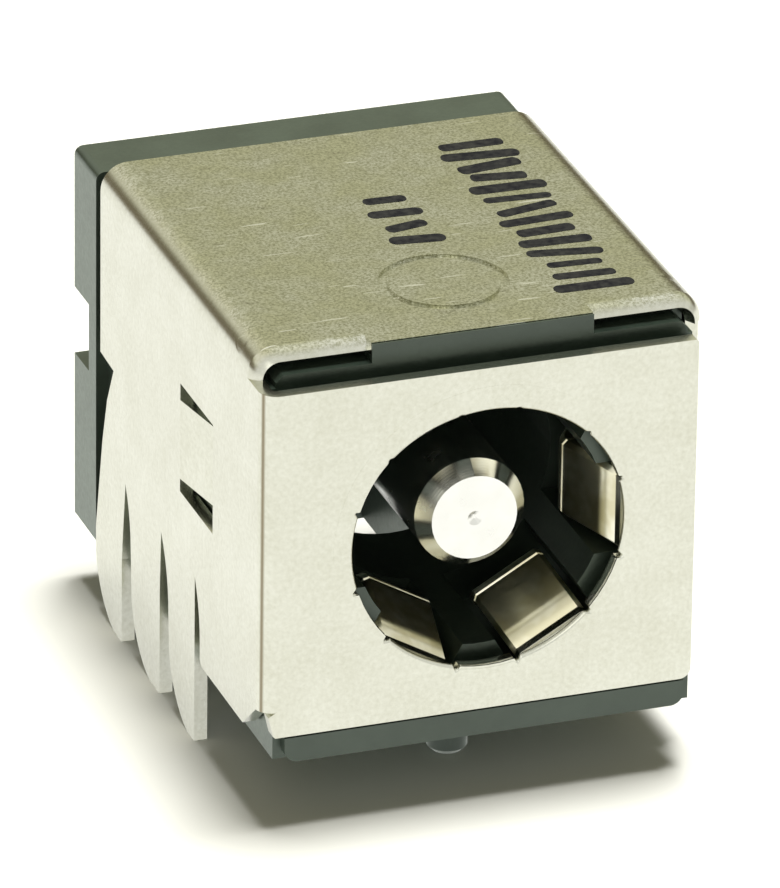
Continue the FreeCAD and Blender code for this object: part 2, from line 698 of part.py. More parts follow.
# Locating boss.
boss_sketch = new_sketch(housing, "boss_sketch", "YZ_Plane", 0.0, (s.boss_back, 0.0))
add_outline(boss_sketch, [
    (0.0, MERGE),
    (0.0, s.boss_tip),
    (s.boss_radius - s.boss_bevel, s.boss_tip),
    (s.boss_radius, s.boss_tip + s.boss_bevel),
    (s.boss_radius, MERGE),
])
boss = housing.newObject("PartDesign::Revolution", "boss")
boss.Profile = boss_sketch
boss.ReferenceAxis = (boss_sketch, ["V_Axis"])
boss.Angle = 360
doc.recompute()

# Notches in the flange and pockets for the lanced tabs.
flange_notch = extrude("Pocket", housing, "flange_notch", "XZ_Plane",
                       flange_rear - s.flange_notch_run, flange_rear + CLEAR, [
    box_outline(-flange_half - CLEAR, s.flange_notch_low,
                -flange_half + s.flange_notch_depth, s.flange_notch_high)])
tab_pocket = extrude("Pocket", housing, "tab_pocket", "YZ_Plane", -s.shield_half,
                     -wall_inner + s.tab_press + s.tab_room, [
    box_outline(s.tab_front, tab_low - s.tab_room, s.tab_rear, tab_high + s.tab_room)])
mirror_copies(housing, "side_pockets", [flange_notch, tab_pocket])

# Hole for the pin's neck and the recess for its terminal.
neck_hole = s.neck_radius + s.neck_gap
extrude("Pocket", housing, "neck_hole", "XZ_Plane", s.cavity_depth - CLEAR, recess_floor + CLEAR,
        circles=[(0.0, 0.0, neck_hole)], centre=(0.0, s.axis_height))
extrude("Pocket", housing, "recess", "XZ_Plane", recess_floor, flange_rear + CLEAR, [
    box_outline(-s.recess_half, -CLEAR, s.recess_half, s.axis_height + s.recess_half)])


# Centre pin: turned, with a bevelled tip, a stepped neck and a riveted head.

centre_pin = new_body("centre_pin")
strip_rear = recess_floor + s.strip
pin_sketch = new_sketch(centre_pin, "pin_sketch", "YZ_Plane", 0.0, (0.0, s.axis_height))
add_outline(pin_sketch, [
    (s.pin_tip + s.dimple_depth, 0.0),
    (strip_rear + s.rivet_height, 0.0),
    (strip_rear, s.rivet_radius, s.rivet_bend),
    (strip_rear, s.neck_radius),
    (s.cavity_depth, s.neck_radius),
    (s.cavity_depth, s.pin_radius),
    (s.pin_shoulder, s.pin_radius),
    (s.pin_tip + s.pin_dome, s.pin_tip_radius),
    (s.pin_tip, s.dimple_radius, s.pin_dome_bend),
])
pin = centre_pin.newObject("PartDesign::Revolution", "pin")
pin.Profile = pin_sketch
pin.ReferenceAxis = (pin_sketch, ["H_Axis"])
pin.Angle = 360
doc.recompute()


# Pin terminal: a flat strip with a narrower solder tail.

pin_terminal = new_body("pin_terminal")
extrude("Pad", pin_terminal, "strip_form", "XZ_Plane", recess_floor, strip_rear, [[
    (-s.tail_half + s.tail_bevel, s.leg_tip),
    (s.tail_half - s.tail_bevel, s.leg_tip),
    (s.tail_half, s.leg_tip + s.tail_bevel),
    (s.tail_half, s.tail_top),
    (s.strip_half, s.tail_top + s.tail_half),
    (s.strip_half, s.axis_height),
    (0.0, s.axis_height + s.strip_half, s.strip_half),
    (-s.strip_half, s.axis_height, s.strip_half),
    (-s.strip_half, s.tail_top + s.tail_half),
    (-s.tail_half, s.tail_top),
    (-s.tail_half, s.leg_tip + s.tail_bevel),
]])
extrude("Pocket", pin_terminal, "pin_hole", "XZ_Plane", recess_floor - CLEAR, strip_rear + CLEAR,
        circles=[(0.0, 0.0, neck_hole)], centre=(0.0, s.axis_height))


# Checks of every object, then one file for each piece.

doc.recompute()
for thing in doc.Objects:
    if "Invalid" in thing.State or "Error" in thing.State:
        raise RuntimeError(f"{thing.Name}: {thing.State}")

os.makedirs("parts", exist_ok=True)
for piece in (housing, shield, centre_pin, pin_terminal):
    shape = piece.Shape
    if shape.isNull() or not shape.isValid() or len(shape.Solids) != 1:
        raise RuntimeError(f"{piece.Label} is not one sound solid")
    shape.exportStep(f"parts/{piece.Label}.step")
    box = shape.BoundBox
    print(f"{piece.Label}: volume {shape.Volume:.2f} mm3, "
          f"x {box.XMin:.2f} to {box.XMax:.2f}, y {box.YMin:.2f} to {box.YMax:.2f}, "
          f"z {box.ZMin:.2f} to {box.ZMax:.2f}")
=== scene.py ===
# %% [markdown]
# # A DC barrel jack
# This lesson dresses the solids of a small power jack, about 13 mm long, and lights
# them like a product photograph. The solids already have their true size and place, so the
# work here is finish: plated sheet, moulded plastic, a turned pin, and a little ink.

# %% Load the solids
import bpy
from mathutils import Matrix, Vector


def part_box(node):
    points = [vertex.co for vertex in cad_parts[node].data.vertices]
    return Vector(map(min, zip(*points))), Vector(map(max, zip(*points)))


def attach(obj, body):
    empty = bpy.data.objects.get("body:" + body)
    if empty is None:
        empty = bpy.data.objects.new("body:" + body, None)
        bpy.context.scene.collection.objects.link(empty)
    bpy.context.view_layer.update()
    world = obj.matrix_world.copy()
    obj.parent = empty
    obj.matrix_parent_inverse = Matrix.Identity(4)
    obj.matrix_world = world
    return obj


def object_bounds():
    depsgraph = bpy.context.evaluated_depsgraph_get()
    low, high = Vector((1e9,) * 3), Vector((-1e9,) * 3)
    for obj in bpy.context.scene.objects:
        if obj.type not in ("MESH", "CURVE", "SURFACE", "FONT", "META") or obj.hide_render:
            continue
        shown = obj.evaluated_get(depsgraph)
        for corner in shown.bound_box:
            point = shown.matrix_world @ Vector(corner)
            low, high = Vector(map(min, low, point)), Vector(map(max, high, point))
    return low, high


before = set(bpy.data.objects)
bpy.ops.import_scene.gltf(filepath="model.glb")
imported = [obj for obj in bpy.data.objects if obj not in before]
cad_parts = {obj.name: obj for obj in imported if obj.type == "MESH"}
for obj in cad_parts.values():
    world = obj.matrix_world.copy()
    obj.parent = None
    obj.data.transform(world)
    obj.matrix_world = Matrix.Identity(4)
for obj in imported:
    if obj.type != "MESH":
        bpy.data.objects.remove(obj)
import math

import bpy
from mathutils import Matrix, Vector

cad_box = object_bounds()
print("nodes:", sorted(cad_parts))

# %% [markdown]
# ## Units and small helpers
# Everything is in metres, so a named millimetre keeps the numbers readable. The node
# helpers add one node or one link at a time, which is all that a material needs.

# %% Helpers for node trees
MM = 0.001
AXIS_HEIGHT = sum(corner[2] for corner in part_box("centre_pin")) / 2


def add(tree, kind, **settings):
    """A new node with its settings."""
    node = tree.nodes.new(kind)
    for name, value in settings.items():
        setattr(node, name, value)
    return node


def feed(tree, target, source):
    """Sets a socket to a value, or links it to another socket."""
    if isinstance(source, bpy.types.NodeSocket):
        tree.links.new(source, target)
    elif source is not None:
        target.default_value = source


def calculate(tree, operation, first, second=None):
    """A Math node on one or two inputs."""
    node = add(tree, "ShaderNodeMath", operation=operation)
    for socket, source in zip(node.inputs, (first, second)):
        feed(tree, socket, source)
    return node.outputs[0]


def noise(tree, place, scale, detail, roughness):
    """Noise with its size given as features per millimetre."""
    node = add(tree, "ShaderNodeTexNoise")
    feed(tree, node.inputs["Vector"], place)
    feed(tree, node.inputs["Scale"], scale / MM)
    feed(tree, node.inputs["Detail"], detail)
    feed(tree, node.inputs["Roughness"], roughness)
    return node.outputs["Fac"]


def blend_colours(tree, factor, first, second):
    """A Mix node on colours."""
    node = add(tree, "ShaderNodeMix", data_type="RGBA")
    feed(tree, node.inputs["Factor"], factor)
    feed(tree, node.inputs["A"], (*first, 1.0) if isinstance(first, tuple) else first)
    feed(tree, node.inputs["B"], (*second, 1.0) if isinstance(second, tuple) else second)
    return node.outputs["Result"]


def between(tree, source, low, high, new_low=0.0, new_high=1.0):
    """Stretches the range low to high to a new range and clips what lies outside."""
    node = add(tree, "ShaderNodeMapRange")
    feed(tree, node.inputs["Value"], source)
    for name, value in (("From Min", low), ("From Max", high),
                        ("To Min", new_low), ("To Max", new_high)):
        feed(tree, node.inputs[name], value)
    return node.outputs["Result"]


def bump(tree, height, distance):
    """Small relief from a height, with its depth in metres."""
    node = add(tree, "ShaderNodeBump")
    feed(tree, node.inputs["Strength"], 1.0)
    feed(tree, node.inputs["Distance"], distance)
    feed(tree, node.inputs["Height"], height)
    return node.outputs["Normal"]


def axes(tree, place):
    """The X, Y and Z of a place."""
    parts = add(tree, "ShaderNodeSeparateXYZ")
    feed(tree, parts.inputs[0], place)
    return parts.outputs["X"], parts.outputs["Y"], parts.outputs["Z"]


def length(tree, first, second):
    """Length of a vector with these two sides at right angles."""
    squares = calculate(tree, "ADD", calculate(tree, "MULTIPLY", first, first),
                        calculate(tree, "MULTIPLY", second, second))
    return calculate(tree, "SQRT", squares)


def from_plug_axis(tree, place):
    """Distance from the plug axis, and depth behind the front plate."""
    across, depth, height = axes(tree, place)
    return length(tree, across, calculate(tree, "SUBTRACT", height, AXIS_HEIGHT)), depth


def drawn_out(tree, place, turn, shares):
    """Places turned about Z and squeezed along each axis, so a noise of them makes streaks."""
    mapping = add(tree, "ShaderNodeMapping")
    feed(tree, mapping.inputs["Vector"], place)
    feed(tree, mapping.inputs["Rotation"], (0.0, 0.0, turn))
    feed(tree, mapping.inputs["Scale"], shares)
    return mapping.outputs[0]


def new_material(name):
    """A material with its shader, node tree and Object coordinates."""
    material = bpy.data.materials.new(name)
    material.use_nodes = True
    tree = material.node_tree
    shader = tree.nodes["Principled BSDF"]
    place = add(tree, "ShaderNodeTexCoord").outputs["Object"]
    return material, tree, shader, place


# %% [markdown]
# ## Plated sheet
# The shield is folded from one thin nickel-plated strip. Rolled sheet is satin rather than
# mirror-like: a fine grain gives its relief, larger clouds give a warm tint where fingers and
# tools touched it, and a few dents catch the light. The top was handled most, so it also gets
# dark specks and pale scratch marks; their paleness is partly wear and partly a painted glint.
# The contact fingers are smoother and golden, and their relief bends the reflection down
# towards the root and up in one line at the gripping ridge.

# %% Material of the plated sheet
GRAIN_STEP = 0.0009 * MM
DENT_SHARE = 4.0
TOP_FROM = 9.2 * MM
TOP_FULL = 9.3 * MM
TOP_WORN = (0.38, 0.38, 0.26)
TOP_CLOUDED = (0.7, 0.7, 0.53)
# Pale colour of the scratch marks on the top: partly wear, partly a painted glint
SCRATCH_AND_GLINT_COLOUR = (1.0, 1.0, 0.95)
SCRATCH_TURN = math.radians(24.0)
SCRATCH_SHARES = (0.35, 4.5, 1.0)
FINGER_ROUGHNESS = 0.28
FINGER_DARK = (0.72, 0.68, 0.48)
FINGER_LIGHT = (0.98, 0.96, 0.8)
ROOT_FROM = 0.3 * MM
ROOT_END = 1.0 * MM
ROOT_FALL = 0.33 * MM
RIDGE_DEPTH = 2.24 * MM
RIDGE_HALF = 0.07 * MM
RIDGE_RISE = 0.07 * MM


def worn_and_glinting_top(tree, place, clouds, plain):
    """Colour of the handled top: clouds, small dark specks and a few pale scratch marks, partly
    painted glints.
    """
    cloudy = blend_colours(tree, between(tree, clouds, 0.38, 0.62), TOP_CLOUDED, plain)
    specks = between(tree, noise(tree, place, 16.0, 3.0, 0.7), 0.36, 0.6)
    streaks = noise(tree, drawn_out(tree, place, SCRATCH_TURN, SCRATCH_SHARES), 1.6, 2.0, 0.5)
    # Painted glint: the scratch marks take a pale colour, partly for wear and partly for light they
    # catch
    scratch_glints = between(tree, streaks, 0.685, 0.7)
    worn = blend_colours(tree, specks, TOP_WORN, cloudy)
    return blend_colours(tree, scratch_glints, worn, SCRATCH_AND_GLINT_COLOUR)


def on_fingers(tree, distance, depth):
    """One on the contact fingers, and nought elsewhere."""
    near_axis = between(tree, distance, 3.35 * MM, 3.45 * MM, 1.0, 0.0)
    behind_plate = between(tree, depth, 0.25 * MM, 0.4 * MM)
    before_end = between(tree, depth, 3.2 * MM, 3.4 * MM, 1.0, 0.0)
    return calculate(tree, "MULTIPLY", near_axis,
                     calculate(tree, "MULTIPLY", behind_plate, before_end))


def bend_of_fingers(tree, depth):
    """Relief of the fingers in grain steps: a rise at the ridge and a fall to the root."""
    off_ridge = calculate(tree, "ABSOLUTE", calculate(tree, "SUBTRACT", depth, RIDGE_DEPTH))
    ridge = between(tree, off_ridge, 0.0, RIDGE_HALF, RIDGE_RISE / GRAIN_STEP, 0.0)
    root = between(tree, depth, ROOT_FROM, ROOT_END, 1.0, 0.0)
    fall = calculate(tree, "MULTIPLY", calculate(tree, "MULTIPLY", root, root),
                     ROOT_FALL / GRAIN_STEP)
    return calculate(tree, "SUBTRACT", ridge, fall)


def plated_sheet(name, clean, dull, roughness):
    """Satin plating with grain, clouds and dents, a worn top whose scratch marks are partly painted
    glints, and golden fingers.
    """
    material, tree, shader, place = new_material(name)
    grain = noise(tree, place, 9.0, 3.0, 0.6)
    clouds = noise(tree, place, 0.7, 3.0, 0.6)
    dents = between(tree, noise(tree, place, 1.3, 1.0, 0.4), 0.7, 0.76)
    distance, depth = from_plug_axis(tree, place)
    fingers = on_fingers(tree, distance, depth)
    on_top = between(tree, axes(tree, place)[2], TOP_FROM, TOP_FULL)
    tone = calculate(tree, "ADD", calculate(tree, "MULTIPLY", clouds, 0.4),
                     calculate(tree, "MULTIPLY", grain, 0.6))
    plain = blend_colours(tree, between(tree, tone, 0.36, 0.64), dull, clean)
    outer = blend_colours(tree, on_top, plain, worn_and_glinting_top(tree, place, clouds, plain))
    golden = blend_colours(tree, between(tree, clouds, 0.42, 0.58), FINGER_DARK, FINGER_LIGHT)
    feed(tree, shader.inputs["Base Color"], blend_colours(tree, fingers, outer, golden))
    feed(tree, shader.inputs["Metallic"], 1.0)
    feed(tree, shader.inputs["Roughness"],
         between(tree, fingers, 0.0, 1.0, roughness, FINGER_ROUGHNESS))
    pressed = calculate(tree, "SUBTRACT", grain, calculate(tree, "MULTIPLY", dents, DENT_SHARE))
    relief = calculate(tree, "ADD", pressed,
                       calculate(tree, "MULTIPLY", fingers, bend_of_fingers(tree, depth)))
    feed(tree, shader.inputs["Normal"], bump(tree, relief, GRAIN_STEP))
    return material, tree, shader, place


def add_painted_fold_shade(tree, shader, place, line, half_width, colour):
    """Painted shade: a soft dark line along an upright fold at line (x, y), for the darker
    reflection in the bend.
    """
    across, along = axes(tree, place)[:2]
    off_line = length(tree, calculate(tree, "SUBTRACT", across, line[0]),
                      calculate(tree, "SUBTRACT", along, line[1]))
    in_fold_shade = between(tree, off_line, half_width * 0.2, half_width, 1.0, 0.0)
    plain = shader.inputs["Base Color"].links[0].from_socket
    feed(tree, shader.inputs["Base Color"], blend_colours(tree, in_fold_shade, plain, colour))


sheet_finish, sheet_tree, sheet_shader, sheet_place = plated_sheet(
    "plated_sheet", (0.81, 0.815, 0.73), (0.7, 0.7, 0.6), 0.24)
tin_finish = plated_sheet("tinned_strip", (0.78, 0.78, 0.76), (0.62, 0.62, 0.6), 0.38)[0]
print("finishes:", sheet_finish.name, tin_finish.name)

# %% [markdown]
# ## Moulded plastic
# The housing is a glass-filled black plastic. Its skin is satin and very slightly pebbled
# from the mould, a green-black rather than a pure black, with faint grey flow clouds.

# %% Material of the housing
PLASTIC_DARK = (0.016, 0.021, 0.018)
PLASTIC_LIGHT = (0.028, 0.035, 0.03)
PLASTIC_SHEEN = (0.88, 1.0, 0.9, 1.0)
PLASTIC_COAT = (0.86, 1.0, 0.88, 1.0)


def moulded_plastic(name):
    """Satin green-black skin with fine pebbles and faint clouds."""
    material, tree, shader, place = new_material(name)
    pebble = noise(tree, place, 9.0, 3.0, 0.6)
    flow = noise(tree, place, 0.8, 3.0, 0.55)
    feed(tree, shader.inputs["Base Color"],
         blend_colours(tree, between(tree, flow, 0.35, 0.65), PLASTIC_DARK, PLASTIC_LIGHT))
    feed(tree, shader.inputs["Roughness"], between(tree, pebble, 0.3, 0.7, 0.3, 0.42))
    feed(tree, shader.inputs["Specular IOR Level"], 0.85)
    feed(tree, shader.inputs["Specular Tint"], PLASTIC_SHEEN)
    feed(tree, shader.inputs["Coat Weight"], 0.6)
    feed(tree, shader.inputs["Coat Tint"], PLASTIC_COAT)
    feed(tree, shader.inputs["Coat Roughness"], 0.3)
    feed(tree, shader.inputs["Normal"], bump(tree, pebble, 0.006 * MM))
    return material


plastic_finish = moulded_plastic("black_plastic")
print("finish:", plastic_finish.name)

# %% [markdown]
# ## Turned pin
# A turned pin shows rings around its axis and is polished brighter than the sheet. The
# rings come from the distance to the pin's axis, so they close into circles on the flat tip
# and run along the shaft as fine lines round it.

# %% Material of the pin
RINGS_PER_MM = 11.0
RING_DEPTH = 0.00012 * MM
PIN_BRIGHT = (0.97, 0.97, 0.95)
PIN_SMUDGED = (0.93, 0.93, 0.9)


def turned_metal(name):
    """Polished metal with fine turning rings and faint smudges."""
    material, tree, shader, place = new_material(name)
    distance, depth = from_plug_axis(tree, place)
    reach = calculate(tree, "ADD", distance, depth)
    rings = calculate(tree, "SINE", calculate(tree, "MULTIPLY", reach,
                                              2 * math.pi * RINGS_PER_MM / MM))
    smudge = noise(tree, place, 1.1, 3.0, 0.6)
    feed(tree, shader.inputs["Base Color"],
         blend_colours(tree, between(tree, smudge, 0.35, 0.65), PIN_BRIGHT, PIN_SMUDGED))
    feed(tree, shader.inputs["Metallic"], 1.0)
    feed(tree, shader.inputs["Roughness"], between(tree, smudge, 0.35, 0.65, 0.16, 0.28))
    feed(tree, shader.inputs["Normal"], bump(tree, rings, RING_DEPTH))
    return material


pin_finish = turned_metal("turned_pin")
print("finish:", pin_finish.name)

# %% [markdown]
# ## Dress the solids
# The solids carry the true forms, so they stay and only take their finish. Assigning to the
# material slots leaves their meshes untouched.

# %% Give each solid its finish
FINISHES = {"shield": sheet_finish, "housing": plastic_finish,
            "centre_pin": pin_finish, "pin_terminal": tin_finish}

for name, finish in FINISHES.items():
    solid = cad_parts[name]
    if not solid.material_slots:
        solid.data.materials.append(finish)
    for material_slot in solid.material_slots:
        material_slot.material = finish
    print(name, "->", finish.name, len(solid.data.polygons), "faces")

# %% [markdown]
# ## Painted shade at the fold
# Where the front plate is folded from the left wall, a thin soft dark line is painted into the
# sheet's colour as shade, standing in for the darker reflection in the bend. It is tied to the
# shield's own left side, so it stays on the fold if the jack is made wider.

# %% Paint shade along the fold
FOLD_SHADE_INSET = 0.045 * MM
FOLD_SHADE_BEHIND = 0.2 * MM
FOLD_SHADE_HALF = 0.075 * MM
# Brown of the painted shade along the fold
FOLD_SHADE_BROWN = (0.3, 0.26, 0.18)

shield_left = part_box("shield")[0][0]
# Painted shade: a dark line along the fold, for the bend's darker reflection
add_painted_fold_shade(sheet_tree, sheet_shader, sheet_place,
           (shield_left + FOLD_SHADE_INSET, FOLD_SHADE_BEHIND), FOLD_SHADE_HALF, FOLD_SHADE_BROWN)
print("crease at x", round((shield_left + FOLD_SHADE_INSET) / MM, 2), "mm")

# %% [markdown]
# ## Rim of the opening
# Seen from the front, the sheet closes round the fingers' roots, so the opening reads as one
# circle with a rolled edge and a small dark nick beside each finger. A thin skin over the
# plate gives that: its section is a short flat part and a quarter round, swept round the axis,
# and the edge moves outward at the nicks, less so towards the top.

# %% Skin round the opening
FINGERS = 6
RIM_INNER = 3.07 * MM
RIM_TOP_DROP = 0.13 * MM
RIM_OUTER = 3.52 * MM
RIM_ROUND = 0.1 * MM
RIM_SKIN = 0.006 * MM
NICK_ANGLE = math.radians(17.2)
NICK_HALF = math.radians(1.6)
NICK_REACH = 0.11 * MM
NICK_FADE = 0.8
RIM_STEPS = 720
ROUND_STEPS = 6


def rim_section(angle):
    """Places (distance from the axis, depth) round the section at an angle."""
    step_between = 2 * math.pi / FINGERS
    past_finger = angle % step_between
    off_nick = min(abs(past_finger - NICK_ANGLE), abs(past_finger - step_between + NICK_ANGLE))
    upward = max(0.0, math.sin(angle))
    nick = NICK_REACH * (1.0 - NICK_FADE * upward) * max(0.0, 1.0 - off_nick / NICK_HALF)
    inner = RIM_INNER - RIM_TOP_DROP * upward ** 3 + nick
    quarter = [math.pi / 2 * step / ROUND_STEPS for step in range(ROUND_STEPS + 1)]
    front = [(inner + RIM_ROUND * (1 - math.sin(turn)), RIM_ROUND * (1 - math.cos(turn)) - RIM_SKIN)
             for turn in quarter]
    back = [(inner + RIM_SKIN, RIM_ROUND - RIM_SKIN), (inner + RIM_ROUND, 0.0), (RIM_OUTER, 0.0)]
    return [(RIM_OUTER, -RIM_SKIN / 2)] + front + back


def swept_rim(name, finish):
    """The section swept round the plug axis into one closed ring, smooth at its round edge."""
    sections = [rim_section(2 * math.pi * step / RIM_STEPS) for step in range(RIM_STEPS)]
    size = len(sections[0])
    points = []
    for step, section in enumerate(sections):
        turn = 2 * math.pi * step / RIM_STEPS
        points += [(distance * math.cos(turn), depth, AXIS_HEIGHT + distance * math.sin(turn))
                   for distance, depth in section]
    neighbours = [(place, (place + 1) % size) for place in range(size)]
    faces = []
    for step in range(RIM_STEPS):
        here, there = step * size, (step + 1) % RIM_STEPS * size
        faces += [(here + place, here + following, there + following, there + place)
                  for place, following in neighbours]
    mesh = bpy.data.meshes.new(name)
    mesh.from_pydata(points, [], faces)
    mesh.materials.append(finish)
    for face in mesh.polygons:
        face.use_smooth = 1 <= face.index % size <= ROUND_STEPS
    piece = bpy.data.objects.new(name, mesh)
    bpy.context.scene.collection.objects.link(piece)
    return piece


rim = swept_rim("opening_rim", sheet_finish)
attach(rim, "root")
print("rim:", len(rim.data.polygons), "faces")

# %% [markdown]
# ## Ink
# The top carries a row of printed marks and a second, shorter one. They are made as plain
# strokes with no meaning: one node tree makes a flat stroke with round ends, sets it out
# along the jack, and turns and stretches each copy a little.

# %% Node tree of a row of ink strokes
INK_THICKNESS = 0.004 * MM
INK_DARK = (0.012, 0.012, 0.014)
INK_WORN = (0.035, 0.035, 0.033)
MOST_TILT = (0.0, 0.0, math.radians(14.0))
LEAST_TILT = (0.0, 0.0, math.radians(-14.0))
LEAST_STRETCH = (0.7, 0.8, 1.0)
MOST_STRETCH = (1.05, 1.3, 1.0)


def ink_material():
    """Dull black ink, worn thin in places."""
    material, tree, shader, place = new_material("black_ink")
    worn = between(tree, noise(tree, place, 5.0, 3.0, 0.6), 0.35, 0.7)
    feed(tree, shader.inputs["Base Color"], blend_colours(tree, worn, INK_DARK, INK_WORN))
    feed(tree, shader.inputs["Roughness"], 0.8)
    feed(tree, shader.inputs["Specular IOR Level"], 0.08)
    return material


def stroke_tree(ink):
    """Rows of strokes: inputs give the first place, the number, the step and the sizes."""
    tree = bpy.data.node_groups.new("ink strokes", "GeometryNodeTree")
    tree.interface.new_socket("Geometry", in_out="OUTPUT", socket_type="NodeSocketGeometry")
    for name, kind in (("Start", "Vector"), ("Count", "Int"), ("Step", "Vector"),
                       ("Length", "Float"), ("Width", "Float"), ("Seed", "Int")):
        tree.interface.new_socket(name, in_out="INPUT", socket_type=f"NodeSocket{kind}")
    given = add(tree, "NodeGroupInput").outputs
    bar = add(tree, "GeometryNodeCurvePrimitiveQuadrilateral")
    feed(tree, bar.inputs["Width"], given["Length"])
    feed(tree, bar.inputs["Height"], given["Width"])
    rounded = add(tree, "GeometryNodeFilletCurve", mode="POLY")
    feed(tree, rounded.inputs["Curve"], bar.outputs[0])
    feed(tree, rounded.inputs["Count"], 8)
    feed(tree, rounded.inputs["Radius"], calculate(tree, "MULTIPLY", given["Width"], 0.45))
    flat = add(tree, "GeometryNodeFillCurve", mode="NGONS")
    feed(tree, flat.inputs[0], rounded.outputs[0])
    raised = add(tree, "GeometryNodeExtrudeMesh")
    feed(tree, raised.inputs["Mesh"], flat.outputs[0])
    feed(tree, raised.inputs["Offset Scale"], INK_THICKNESS)
    underside = add(tree, "GeometryNodeFlipFaces")
    feed(tree, underside.inputs[0], flat.outputs[0])
    closed = add(tree, "GeometryNodeJoinGeometry")
    feed(tree, closed.inputs[0], underside.outputs[0])
    feed(tree, closed.inputs[0], raised.outputs["Mesh"])
    stroke = add(tree, "GeometryNodeMergeByDistance")
    feed(tree, stroke.inputs["Geometry"], closed.outputs[0])
    feed(tree, stroke.inputs["Distance"], INK_THICKNESS / 10)
    row = add(tree, "GeometryNodeMeshLine")
    feed(tree, row.inputs["Count"], given["Count"])
    feed(tree, row.inputs["Start Location"], given["Start"])
    feed(tree, row.inputs["Offset"], given["Step"])
    tilt = add(tree, "FunctionNodeRandomValue", data_type="FLOAT_VECTOR")
    feed(tree, tilt.inputs["Min"], LEAST_TILT)
    feed(tree, tilt.inputs["Max"], MOST_TILT)
    feed(tree, tilt.inputs["Seed"], given["Seed"])
    stretch = add(tree, "FunctionNodeRandomValue", data_type="FLOAT_VECTOR")
    feed(tree, stretch.inputs["Min"], LEAST_STRETCH)
    feed(tree, stretch.inputs["Max"], MOST_STRETCH)
    feed(tree, stretch.inputs["Seed"], given["Seed"])
    copies = add(tree, "GeometryNodeInstanceOnPoints")
    feed(tree, copies.inputs["Points"], row.outputs[0])
    feed(tree, copies.inputs["Instance"], stroke.outputs[0])
    feed(tree, copies.inputs["Rotation"], tilt.outputs["Value"])
    feed(tree, copies.inputs["Scale"], stretch.outputs["Value"])
    real = add(tree, "GeometryNodeRealizeInstances")
    feed(tree, real.inputs[0], copies.outputs[0])
    inked = add(tree, "GeometryNodeSetMaterial")
    feed(tree, inked.inputs["Geometry"], real.outputs[0])
    feed(tree, inked.inputs["Material"], ink)
    feed(tree, add(tree, "NodeGroupOutput").inputs[0], inked.outputs[0])
    return tree


INK = ink_material()
STROKES = stroke_tree(INK)
print("node tree:", STROKES.name, len(STROKES.nodes), "nodes")

# %% Print the rows
top_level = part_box("shield")[1][2]
INK_ROWS = {
    "ink_row_long": {"Start": (3.0 * MM, 1.95 * MM, top_level), "Step": (0.0, 0.6 * MM, 0.0),
                     "Count": 14, "Length": 1.75 * MM, "Width": 0.33 * MM, "Seed": 6},
    "ink_row_short": {"Start": (0.2 * MM, 5.35 * MM, top_level), "Step": (0.0, 0.72 * MM, 0.0),
                      "Count": 4, "Length": 1.3 * MM, "Width": 0.4 * MM, "Seed": 9},
}


def made_by(tree, name, values):
    """A plain mesh object from a node tree and its named inputs."""
    maker = bpy.data.objects.new(name + "_maker", bpy.data.meshes.new(name + "_maker"))
    bpy.context.scene.collection.objects.link(maker)
    modifier = maker.modifiers.new("nodes", "NODES")
    modifier.node_group = tree
    for item in tree.interface.items_tree:
        if item.in_out == "INPUT":
            modifier[item.identifier] = values[item.name]
    shaped = maker.evaluated_get(bpy.context.evaluated_depsgraph_get())
    piece = bpy.data.objects.new(name, bpy.data.meshes.new_from_object(shaped))
    empty = [number for number, used in enumerate(piece.data.materials) if used is None]
    for number in reversed(empty):
        piece.data.materials.pop(index=number)
    maker.modifiers.remove(modifier)
    bpy.data.objects.remove(maker)
    bpy.context.scene.collection.objects.link(piece)
    return piece


for name, values in INK_ROWS.items():
    piece = made_by(STROKES, name, values)
    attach(piece, "root")
    print(name, len(piece.data.polygons), "faces", [used.name for used in piece.data.materials])

# %% [markdown]
# ## Floor
# The jack stands on its leg tips on a plain white sheet. The floor takes real shadows, and
# in the mirror-like metal it shows mostly as one plain bright sheet.

# %% White floor
FLOOR_HALF = 0.6
SHARE_PLAIN = 0.7
FLOOR_MIRRORED = (0.95, 0.95, 0.92)
PAPER_DARK = (0.86, 0.855, 0.84)
PAPER_LIGHT = (0.88, 0.875, 0.86)
floor_level = cad_box[0][2]


def white_floor(name, mirrored):
    """Takes its light from the lamps; in reflections it has one plain brightness."""
    material, tree, shader, place = new_material(name)
    paper = noise(tree, place, 0.08, 2.0, 0.5)
    feed(tree, shader.inputs["Base Color"], blend_colours(tree, paper, PAPER_DARK, PAPER_LIGHT))
    feed(tree, shader.inputs["Roughness"], 0.9)
    feed(tree, shader.inputs["Specular IOR Level"], 0.0)
    rays = add(tree, "ShaderNodeLightPath")
    plain = add(tree, "ShaderNodeEmission")
    feed(tree, plain.inputs["Color"], (*mirrored, 1.0))
    either = add(tree, "ShaderNodeMixShader")
    feed(tree, either.inputs["Fac"],
         calculate(tree, "MULTIPLY", rays.outputs["Is Glossy Ray"], SHARE_PLAIN))
    feed(tree, either.inputs[1], shader.outputs[0])
    feed(tree, either.inputs[2], plain.outputs[0])
    feed(tree, tree.nodes["Material Output"].inputs["Surface"], either.outputs[0])
    return material


floor_mesh = bpy.data.meshes.new("floor")
floor_corners = [(x * FLOOR_HALF, y * FLOOR_HALF, floor_level)
                 for x, y in ((-1, -1), (1, -1), (1, 1), (-1, 1))]
floor_mesh.from_pydata(floor_corners, [], [(0, 1, 2, 3)])
floor = bpy.data.objects.new("floor", floor_mesh)
bpy.context.scene.collection.objects.link(floor)
floor_mesh.materials.append(white_floor("white_floor", FLOOR_MIRRORED))
print("floor at", round(floor_level / MM, 2), "mm")

# %% [markdown]
# ## Studio
# The camera sees a white background. Polished sheet also mirrors the room, so for glossy
# rays the world is a room: pale in front, a dark line at the horizon, an olive wall above it
# that is paler on the left, and a bright ceiling. Matt surfaces get a little warm light.

